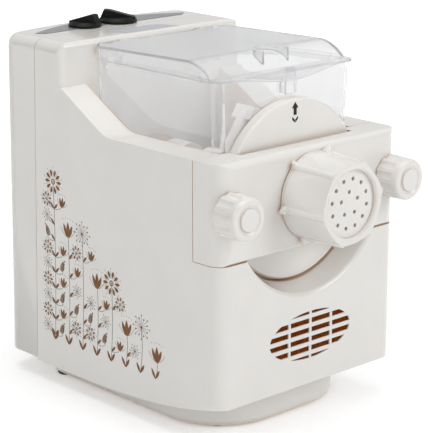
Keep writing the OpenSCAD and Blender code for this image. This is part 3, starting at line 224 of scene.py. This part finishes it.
def clear_plastic(name):
    """Clear moulded plastic, hazy with use, with soft flow marks; it casts hardly any shadow."""
    m = material_nodes(name)
    shader = m.add("ShaderNodeBsdfPrincipled")
    m.join(m.mix(m.ramp(m.noise(9), 0, 1), (0.900, 0.902, 0.908), (0.920, 0.922, 0.928)),
           shader.inputs["Base Color"])
    m.join(m.ramp(m.noise(34), 0.01, 0.04), shader.inputs["Roughness"])
    shader.inputs["IOR"].default_value = 1.52
    shader.inputs["Transmission Weight"].default_value = 0.80
    shader.inputs["Specular IOR Level"].default_value = 0.75
    m.join(m.bump(m.noise(45, 2.0), 0.05, 0.0001, m.bevel(CLEAR_EDGE)), shader.inputs["Normal"])
    through = m.add("ShaderNodeBsdfTransparent")
    through.inputs["Color"].default_value = (0.985, 0.985, 0.985, 1)
    path = m.add("ShaderNodeLightPath").outputs
    return m.finish(m.switch(path["Is Shadow Ray"], shader, through))


def brushed(name, colour, rough, stretch):
    """Turned or drawn metal: fine lines along one direction."""
    m = material_nodes(name)
    shader = m.add("ShaderNodeBsdfPrincipled")
    lines = m.noise(400, 4.0, stretch)
    m.join(m.mix(m.ramp(lines, 0, 1), shade(colour, 0.9), shade(colour, 1.06)), shader.inputs["Base Color"])
    m.join(m.ramp(lines, rough - BRUSHED_SPREAD, rough + BRUSHED_SPREAD), shader.inputs["Roughness"])
    shader.inputs["Metallic"].default_value = 1.0
    m.join(m.bump(lines, 0.15, 0.00003, m.bevel(CUT_EDGE)), shader.inputs["Normal"])
    return m.finish(shader)


def vent_shade_sheet(name):
    """A brown sheet behind the vent slots whose colour is painted shade for the dark inside, with darker
    cells.
    """
    m = material_nodes(name)
    shader = m.add("ShaderNodeBsdfPrincipled")
    cells = m.add("ShaderNodeTexVoronoi", Scale=620)
    m.join(m.coords["Object"], cells.inputs["Vector"])
    # Painted shade: both browns stand in for the shade inside the vent.
    m.join(m.mix(m.ramp(cells.outputs["Distance"], 0, 1, 0.1, 0.7), (0.060, 0.011, 0.0008),
                 (0.185, 0.040, 0.002)), shader.inputs["Base Color"])
    m.join(m.ramp(m.noise(90), 0.75, 0.95), shader.inputs["Roughness"])
    shader.inputs["Specular IOR Level"].default_value = 0.04
    m.join(m.bump(cells.outputs["Distance"], 0.7, 0.0006), shader.inputs["Normal"])
    return m.finish(shader)


def ink(name, colour):
    """Printed ink, a little uneven, like a transfer on the moulding."""
    m = material_nodes(name)
    shader = m.add("ShaderNodeBsdfPrincipled")
    m.join(m.mix(m.ramp(m.noise(420), 0, 1), shade(colour, 0.78), shade(colour, 1.25)),
           shader.inputs["Base Color"])
    m.join(m.ramp(m.noise(90), 0.28, 0.42), shader.inputs["Roughness"])
    shader.inputs["Specular IOR Level"].default_value = 0.25
    m.join(m.bump(m.noise(1800, 2.0), 0.1, 0.00002), shader.inputs["Normal"])
    return m.finish(shader)


def dress_nodes():
    """Gives each node the material of its slot, and returns the materials by slot."""
    # Both white plastics carry a warm brown painted shade in their crevices and gaps.
    white = plastic("cream_gloss", (0.800, 0.780, 0.748), 0.22, coat=0.35, soft=0.10,
                    crevice_shade=(0.80, 0.55, 0.37))
    tool_white = plastic("tool_white", (0.825, 0.810, 0.782), 0.36, crevice_shade=(0.76, 0.64, 0.52))
    slots = {
        "white_gloss_plastic": white,
        "white_tool_plastic": tool_white,
        "clear_plastic": clear_plastic("clear_moulding"),
        "black_knob_plastic": plastic("knob_black", (0.005, 0.005, 0.006), 0.42, vary=0.12, grain=1100,
                                      gloss=0.22),
        "grey_panel": plastic("panel_grey", (0.235, 0.235, 0.255), 0.30, coat=0.1),
        "label_silver": plastic("label_silver", (0.50, 0.515, 0.55), 0.38, vary=0.02),
        # The brown in the vent slots is painted shade.
        "filter_brown": vent_shade_sheet("vent_painted_shade"),
        "rubber_dark": plastic("rubber", (0.022, 0.022, 0.022), 0.7, grain=900, depth=0.00008),
        "seal_silicone": plastic("silicone", (0.72, 0.71, 0.69), 0.5),
        "shaft_steel": brushed("steel_turned", (0.60, 0.60, 0.61), 0.3, (1, 12, 1)),
        "zinc_screws": brushed("zinc", (0.64, 0.65, 0.68), 0.34, (3, 3, 3)),
        "gear_brass": brushed("brass_cut", (0.72, 0.52, 0.24), 0.34, (4, 1, 4)),
        "plate_aluminium": brushed("aluminium_plate", (0.66, 0.67, 0.69), 0.4, (1, 1, 14)),
        "motor_iron": plastic("iron_laminations", (0.10, 0.10, 0.105), 0.5, metallic=0.6, grain=1500,
                              depth=0.0001),
        "winding_copper": brushed("copper_wire", (0.62, 0.28, 0.13), 0.35, (1, 9, 1)),
    }
    for part in frame["record"]["subparts"]:
        o = nodes[part["node"]]
        o.data.materials.clear()
        o.data.materials.append(slots[part["material_slot"]])
    return slots


# ---------- pieces ----------

def finished_piece(name, mesh, bm, material, sharp_angle=None):
    """An object with the faces of bm, turned outwards; with a sharp angle given, it is smooth below it."""
    bmesh.ops.recalc_face_normals(bm, faces=bm.faces)
    bm.to_mesh(mesh)
    bm.free()
    if sharp_angle:
        mesh.polygons.foreach_set("use_smooth", [True] * len(mesh.polygons))
        mesh.set_sharp_from_angle(angle=math.radians(sharp_angle))
    mesh.materials.clear()
    mesh.materials.append(material)
    return linked(name, mesh)


# ---------- printed pieces ----------

# A printed shape is a strip: a row of cross-cuts, each a pair of points in mm, which are one point at a tip.
# Neighbours in the list lie at different heights, since strips that overlap may share no face.
LAYER_STEP = 0.008
LAYERS = 5
DEPTH_IN = -0.02          # how far a strip's under side lies below the surface that carries it


def strip_piece(name, strips, to_point, depth, material, body):
    """Each strip becomes a thin closed plate on the surface that to_point describes."""
    mesh = bpy.data.meshes.new(name)
    bm = bmesh.new()
    for i, strip in enumerate(strips):
        closed = strip[0] == strip[-1]
        depth_out = depth + LAYER_STEP * (i % LAYERS)
        cuts = []
        for a, b in strip[:-1] if closed else strip:
            outer = [bm.verts.new(to_point(*a, d)) for d in (depth_out, DEPTH_IN)]
            other = outer if a == b else [bm.verts.new(to_point(*b, d)) for d in (depth_out, DEPTH_IN)]
            cuts.append((outer, other))
        for k in range(len(cuts) if closed else len(cuts) - 1):
            (a0, a1), (b0, b1) = cuts[k]
            (c0, c1), (d0, d1) = cuts[(k + 1) % len(cuts)]
            for loop in ((a0, c0, d0, b0), (b1, d1, c1, a1), (a0, a1, c1, c0), (b0, d0, d1, b1)):
                corners = list(dict.fromkeys(loop))
                if len(corners) > 2:
                    bm.faces.new(corners)
        if not closed:
            for (a0, a1), (b0, b1) in (cuts[0], cuts[-1]):
                if a0 is not b0:
                    bm.faces.new((a0, b0, b1, a1))
    piece = finished_piece(name, mesh, bm, material)
    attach(piece, body)


def moved(sections, angle, at):
    """Turns and shifts a strip."""
    c, s = math.cos(angle), math.sin(angle)

    def turned(p):
        return at[0] + p[0] * c - p[1] * s, at[1] + p[0] * s + p[1] * c

    return [(turned(a), turned(b)) for a, b in sections]


def blade(length, width, fullness=1.0, steps=8):
    """A leaf or petal from (0, 0) along +u, pointed at both ends; fullness moves its widest place out."""
    strip = [((0, 0), (0, 0))]
    for k in range(1, steps):
        t = k / steps
        half = 0.5 * width * math.sin(math.pi * t ** fullness) ** 0.85
        strip.append(((length * t, half), (length * t, -half)))
    return strip + [((length, 0), (length, 0))]


def disc(radius, steps=6):
    """A round dot about (0, 0)."""
    strip = []
    for k in range(steps + 1):
        a = math.pi * k / steps
        u, v = -radius * math.cos(a), radius * math.sin(a)
        strip.append(((u, v), (u, -v)))
    return strip


def line(points, width, tip=0.4):
    """A line of even width through points, thinner at its end."""
    strip = []
    for i, p in enumerate(points):
        a, b = points[max(i - 1, 0)], points[min(i + 1, len(points) - 1)]
        du, dv = b[0] - a[0], b[1] - a[1]
        half = width / 2 * (1 if i < len(points) - 1 else tip) / math.hypot(du, dv)
        strip.append(((p[0] - dv * half, p[1] + du * half), (p[0] + dv * half, p[1] - du * half)))
    return strip


def ring(radius, width, steps=20):
    """A closed ring about (0, 0)."""
    strip = []
    for k in range(steps):
        a = 2 * math.pi * k / steps
        c, s = math.cos(a), math.sin(a)
        inner, outer = radius - width / 2, radius + width / 2
        strip.append(((outer * c, outer * s), (inner * c, inner * s)))
    return strip + [strip[0]]


def bow(start, end, sag, steps=8):
    """Points from start to end along a curve that bows sideways by sag."""
    du, dv = end[0] - start[0], end[1] - start[1]
    span = math.hypot(du, dv) or 1
    pts = []
    for k in range(steps + 1):
        t = k / steps
        off = 4 * sag * t * (1 - t)
        pts.append((start[0] + du * t - dv / span * off, start[1] + dv * t + du / span * off))
    return pts


def polar(at, reach, angle):
    """The point that lies at the distance reach from at, in the direction angle."""
    return at[0] + reach * math.cos(angle), at[1] + reach * math.sin(angle)


def daisy(brown, grey, at, size, turn, petals=10):
    """A round flower seen from above."""
    for k in range(petals):
        a = turn + 2 * math.pi * k / petals
        brown.append(moved(blade(0.66 * size, 0.27 * size, 1.5), a, polar(at, 0.36 * size, a)))
        b = a + math.pi / petals
        grey.append(line([polar(at, r * size, b) for r in (0.5, 0.8, 1.08)], 0.3))
        grey.append(moved(disc(0.42), 0, polar(at, 1.2 * size, b)))
    brown.append(moved(ring(0.20 * size, 0.09 * size), 0, at))
    grey.append(moved(disc(0.09 * size), 0, at))


def tulip(brown, grey, at, size, angle):
    """A cup of three petals that opens along angle."""
    brown.append(moved(blade(size * 0.98, size * 0.30, 0.9), angle, at))
    for side in (-1, 1):
        foot = (at[0] - side * 0.07 * size * math.sin(angle), at[1] + side * 0.07 * size * math.cos(angle))
        brown.append(moved(blade(size * 0.9, size * 0.25, 0.95), angle + side * 0.40, foot))
        sepal = bow((0, 0), (size * 0.95, 0), side * 0.12 * size)
        grey.append(moved(line(sepal, 0.35), angle + side * 0.85, at))
    for k in range(-2, 3):
        grey.append(moved(disc(0.38), 0, polar(at, 1.22 * size, angle + 0.2 * k)))


def seed_head(brown, grey, at, size, turn, rays=14):
    """A ball of fine rays, each with a dot at its tip."""
    for k in range(rays):
        a = turn + 2 * math.pi * k / rays
        r = size * (1 if k % 2 else 0.74)
        grey.append(line([polar(at, q * r, a) for q in (0.2, 0.6, 1)], 0.3, 1))
        (brown if k % 2 == 0 else grey).append(moved(disc(0.075 * size), 0, polar(at, r, a)))
    brown.append(moved(disc(0.13 * size), 0, at))


def frond(brown, grey, start, end, sag, size):
    """A fern leaf: a fine rib with pairs of narrow leaflets."""
    rib = bow(start, end, sag)
    grey.append(line(rib, 0.45))
    for i in range(1, len(rib) - 1):
        a = math.atan2(rib[i + 1][1] - rib[i - 1][1], rib[i + 1][0] - rib[i - 1][0])
        reach = size * (1.15 - 0.09 * i)
        for side in (-1, 1):
            (brown if i % 2 else grey).append(moved(blade(reach, 0.24 * size), a + side * 0.8, rib[i]))
    a = math.atan2(rib[-1][1] - rib[-2][1], rib[-1][0] - rib[-2][0])
    brown.append(moved(blade(size * 0.7, size * 0.26), a, rib[-1]))


# The meadow, in mm behind the front plane and above the table.
PRINT_FRONT, PRINT_BACK, PRINT_LOW, PRINT_TOP = 61, 213, 41, 202
FRONT_HEIGHT = 34         # how high the meadow stands at its front end
STEM_COUNT = 8
STEM_STEPS = 30
FRONT_ROOM, BACK_ROOM = 11, 13     # from the print's ends to the nearest stem
LOWEST_STEM = 19
BELOW_TOP = (10, 30)      # how far the heads of even and odd stems stay below the meadow's height
HEAD_ROOM = 11.5          # radius of the room that a stem's head takes
SHOOT_ROOM = 6.6          # the same for a side shoot's tip
STEM_ROOM = 6             # least distance from a side shoot's tip to another stem
SHOOT_REACH, SHOOT_RISE = 9.9, 7
OVERHANG = 3              # how far side shoots may pass the print's back end


def meadow_height(u):
    """How high the meadow stands at the distance u behind the front."""
    share = (u - PRINT_FRONT) / (PRINT_BACK - PRINT_FRONT)
    return FRONT_HEIGHT + (PRINT_TOP - PRINT_LOW - FRONT_HEIGHT) * share ** 1.3


def small_motif(brown, grey, kind, root, tip, side, turn):
    """A side shoot from root to tip that ends in a small flower, cup, seed head or fern leaf."""
    if kind == 0:
        daisy(brown, grey, tip, 6.2, turn, 8)
    elif kind == 1:
        tip = (tip[0], tip[1] - 4)
        tulip(brown, grey, tip, 9.0, math.pi / 2 - side * 0.2)
    elif kind == 2:
        seed_head(brown, grey, tip, 6.2, turn, 12)
    else:
        tip = (tip[0], tip[1] - 5.5)
        frond(brown, grey, tip, (tip[0] + side * 1.2, tip[1] + 9), side * 1.2, 4.4)
    grey.append(line(bow(root, tip, -side * 1.2), 0.45))


def meadow():
    """The print's brown and grey strips: stems with large heads, and side shoots wherever there is room."""
    brown, grey, stems, taken = [], [], [], []
    pitch = (PRINT_BACK - BACK_ROOM - PRINT_FRONT - FRONT_ROOM) / (STEM_COUNT - 1)
    for i in range(STEM_COUNT):
        u = PRINT_BACK - BACK_ROOM - i * pitch
        height = max(LOWEST_STEM, meadow_height(u) - BELOW_TOP[i % 2])
        stem = bow((u + 2, PRINT_LOW), (u, PRINT_LOW + height), 1.6, STEM_STEPS)
        stems.append(stem)
        top = stem[-1]
        if i % 4 == 0:
            daisy(brown, grey, top, 10.2, 0.3 * i)
        elif i % 4 == 2:
            seed_head(brown, grey, top, 10, 0.2 * i, 16)
        else:
            top = (top[0], top[1] - 5)
            tulip(brown, grey, top, 13.5, math.pi / 2)
        grey.append(line(stem, 0.6))
        taken.append((*stem[-1], HEAD_ROOM))
        for lean in (0.55, -0.5):
            brown.append(moved(blade(9.5, 2.6), math.pi / 2 + lean, stem[0]))
    kind = 0
    for stem in stems:
        for j in range(STEM_STEPS - 2, -1, -1):
            root = stem[j]
            for side in (1, -1):
                tip = (root[0] + side * SHOOT_REACH, root[1] + SHOOT_RISE)
                near = [math.dist(tip, p) for other in stems if other is not stem for p in other]
                full = any(math.dist(tip, c[:2]) < c[2] + SHOOT_ROOM for c in taken)
                if tip[0] > PRINT_BACK + OVERHANG or min(near) < STEM_ROOM or full:
                    continue
                small_motif(brown, grey, kind % 4, root, tip, side, 0.4 * j)
                brown.append(moved(blade(7, 2.2), math.pi / 2 - side * 0.75, root))
                taken.append((*tip, SHOOT_ROOM))
                kind += 1
    return brown, grey


def on_left_wall(u, v, d):
    """The point at u behind the front plane and v above the table, d outside the left wall."""
    return place(-HALF_W - d, u, v)


def on_disc(u, v, d):
    """The point at u to the right and v above the table, d in front of the front disc."""
    return place(u, DISC_FRONT - d, v)


def side_print():
    """The meadow on the left wall, in brown with fine grey lines."""
    brown, grey = meadow()
    strip_piece("side_print_brown", brown, on_left_wall, 0.09, ink("ink_brown", (0.195, 0.075, 0.014)),
                "housing")
    strip_piece("side_print_grey", grey, on_left_wall, 0.04, ink("ink_grey", (0.23, 0.200, 0.180)),
                "housing")


def disc_mark():
    """An arrow on the front disc that points to the top, over a small chevron."""
    head = [((-3.6, 253.4), (3.6, 253.4)), ((0, 258.4), (0, 258.4))]
    shaft = [((-1.7, 248.0), (1.7, 248.0)), ((-1.7, 253.4), (1.7, 253.4))]
    chevron = [[((side * 0.2, 241.8), (side * 0.2, 244.2)), ((side * 3.2, 244.6), (side * 3.2, 247.0))]
               for side in (-1, 1)]
    strip_piece("disc_mark", [head, shaft, *chevron], on_disc, 0.06, ink("ink_black", (0.004, 0.004, 0.004)),
                "front_unit")


# ---------- rear cover ----------

# All in metres, apart from the last two.
WELD = 2e-6               # points nearer than this are one
NO_LENGTH = 1e-7          # edges shorter than this go
FLAT = 1.5e-5             # how far a fin's points may lie from its plane
FIN_REACH = 0.03          # how far a fin's points may lie from its tip
SLIVER = 1e-12            # faces below this area, in square metres, have no direction
PARALLEL = 0.9995         # faces are parallel where their normals' product is above this, in either direction


def in_fin(face, tip, normal):
    """Whether all of face lies close to tip and in the plane through it."""
    offsets = [p.co - tip for p in face.verts]
    return all(away.length < FIN_REACH and abs(away.dot(normal)) < FLAT for away in offsets)


def rear_shell(material):
    """The rear cover without the two hair-thin fins that stand where the roundings of its top edge meet."""
    mesh = nodes["rear_cover"].data.copy()
    bm = bmesh.new()
    bm.from_mesh(mesh)
    bmesh.ops.remove_doubles(bm, verts=bm.verts, dist=WELD)
    bmesh.ops.dissolve_degenerate(bm, edges=bm.edges, dist=NO_LENGTH)
    bm.normal_update()
    fins = set()
    for v in bm.verts:
        facing = [f.normal.copy() for f in v.link_faces if f.calc_area() > SLIVER]
        turns = [n.dot(facing[0]) for n in facing]
        if len(facing) > 1 and min(turns) < 0 and min(abs(d) for d in turns) > PARALLEL:
            fins |= {f for f in bm.faces if in_fin(f, v.co, facing[0])}
    bmesh.ops.delete(bm, geom=list(fins), context="FACES")
    bmesh.ops.holes_fill(bm, edges=[e for e in bm.edges if e.is_boundary])
    bmesh.ops.triangulate(bm, faces=[f for f in bm.faces if len(f.verts) > 4])
    mesh.name = "rear_shell"
    piece = finished_piece("rear_shell", mesh, bm, material, sharp_angle=30)
    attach(piece, "housing")
    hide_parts("rear_cover")


# ---------- lid ----------

# In mm, as place takes them.
LIP_HALF_W = 64
LIP_Y, LIP_Z = 24.9, 282.0    # the bead's middle at both ends of the lip
LIP_REACH = 1.6           # how much further forward the bead's middle stands half way
LIP_DROP = 6.2            # how much lower it hangs there
LIP_BACK, LIP_FRONT = 25.9, 24.7
LIP_TOP = 283.6
LIP_STEPS = 48
BEAD_R = 1.25


def lid_lip(material):
    """The lid's front lip: a thin skirt that hangs lower in its middle and ends in a round bead."""
    mesh = bpy.data.meshes.new("lid_lip")
    bm = bmesh.new()
    rows = []
    for k in range(LIP_STEPS + 1):
        x = LIP_HALF_W * (2 * k / LIP_STEPS - 1)
        full = math.cos(math.pi * x / (2 * LIP_HALF_W)) ** 2
        y, z = LIP_Y - LIP_REACH * full, LIP_Z - LIP_DROP * full
        bead = [(y - BEAD_R * math.cos(a), z - BEAD_R * math.sin(a))
                for a in (math.radians(d) for d in range(-30, 211, 30))]
        section = [(LIP_BACK, LIP_TOP), (LIP_FRONT, LIP_TOP), *bead]
        rows.append([bm.verts.new(place(x, *p)) for p in section])
    for one, two in zip(rows, rows[1:]):
        for i in range(len(one)):
            j = (i + 1) % len(one)
            bm.faces.new((one[i], one[j], two[j], two[i]))
    bm.faces.new(rows[0])
    bm.faces.new(rows[-1][::-1])
    piece = finished_piece("lid_lip", mesh, bm, material, sharp_angle=40)
    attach(piece, "lid")


# ---------- stage ----------

FLOOR_HALF = 20                    # half the floor's side, in metres
GLOW_NEAR, GLOW_FAR = 0.33, 0.62   # the floor's own light, which grows as the lamps' light falls off,
GLOW_FROM, GLOW_TO = 0.45, 1.9     # between these distances from the middle, in metres
LAMP_AIM = Vector((0, 0, 0.15))    # the middle of the machine
WORLD_LIGHT, CARD_LIGHT = 0.58, 0.06
CARD_SIDE = (0.7335, -0.6797, 0)   # direction of the dark card on the right; the other stands opposite
CARD_EDGE = (0.80, 0.90)           # cosines of the angles from it at which a card begins and is full


def make_floor():
    """A white floor that takes shadows; seen directly, mirrored or through clear plastic it also glows."""
    mesh = bpy.data.meshes.new("floor")
    a = FLOOR_HALF
    mesh.from_pydata([(-a, -a, 0), (a, -a, 0), (a, a, 0), (-a, a, 0)], [], [(0, 1, 2, 3)])
    floor = linked("floor", mesh)
    m = material_nodes("floor_white")
    lit = m.add("ShaderNodeBsdfDiffuse")
    m.join(m.mix(m.noise(3), (0.86, 0.86, 0.86), (0.88, 0.88, 0.88)), lit.inputs["Color"])
    away = m.add("ShaderNodeVectorMath", operation="LENGTH")
    m.join(m.coords["Object"], away.inputs[0])
    glow = m.add("ShaderNodeEmission")
    m.join(m.ramp(away.outputs["Value"], GLOW_NEAR, GLOW_FAR, GLOW_FROM, GLOW_TO), glow.inputs["Strength"])
    both = m.add("ShaderNodeAddShader")
    m.join(lit.outputs[0], both.inputs[0])
    m.join(glow.outputs[0], both.inputs[1])
    path = m.add("ShaderNodeLightPath").outputs
    seen = m.larger(m.larger(path["Is Camera Ray"], path["Is Glossy Ray"]), path["Is Transmission Ray"])
    mesh.materials.append(m.finish(m.switch(seen, lit, both)))


def make_light(name, at, size, power):
    """A white area lamp that faces the middle of the machine."""
    data = bpy.data.lights.new(name, "AREA")
    data.shape = "RECTANGLE"
    data.size, data.size_y = size
    data.energy = power
    light = linked(name, data)
    light.location = at
    light.rotation_euler = (LAMP_AIM - Vector(at)).to_track_quat("-Z", "Y").to_euler()


def make_world():
    """Even light with a dark card on each side, which draws the edges of clear and glossy pieces.

    The camera itself sees plain white.
    """
    w = Nodes(bpy.data.worlds.new("studio"), "ShaderNodeOutputWorld")
    across = w.add("ShaderNodeVectorMath", operation="DOT_PRODUCT")
    across.inputs[1].default_value = CARD_SIDE
    w.join(w.coords["Generated"], across.inputs[0])
    to_card = w.add("ShaderNodeMath", operation="ABSOLUTE")
    w.join(across.outputs["Value"], to_card.inputs[0])
    around = w.add("ShaderNodeBackground", Color=WHITE)
    w.join(w.ramp(to_card.outputs[0], WORLD_LIGHT, CARD_LIGHT, *CARD_EDGE), around.inputs["Strength"])
    plain = w.add("ShaderNodeBackground", Color=WHITE, Strength=1.0)
    path = w.add("ShaderNodeLightPath").outputs
    bpy.context.scene.world = w.finish(w.switch(path["Is Camera Ray"], around, plain))


bpy.context.scene.view_settings.view_transform = "Standard"
make_camera()
slots = dress_nodes()
rear_shell(slots["white_gloss_plastic"])
lid_lip(slots["clear_plastic"])
side_print()
disc_mark()
make_floor()
make_world()
make_light("key", (1.2, -2.3, 1.5), (1.4, 1.4), 27)
make_light("top", (-0.2, 0.1, 2.4), (1.4, 1.4), 16)
make_light("side", (-2.6, -0.6, 1.2), (1.2, 1.4), 9)
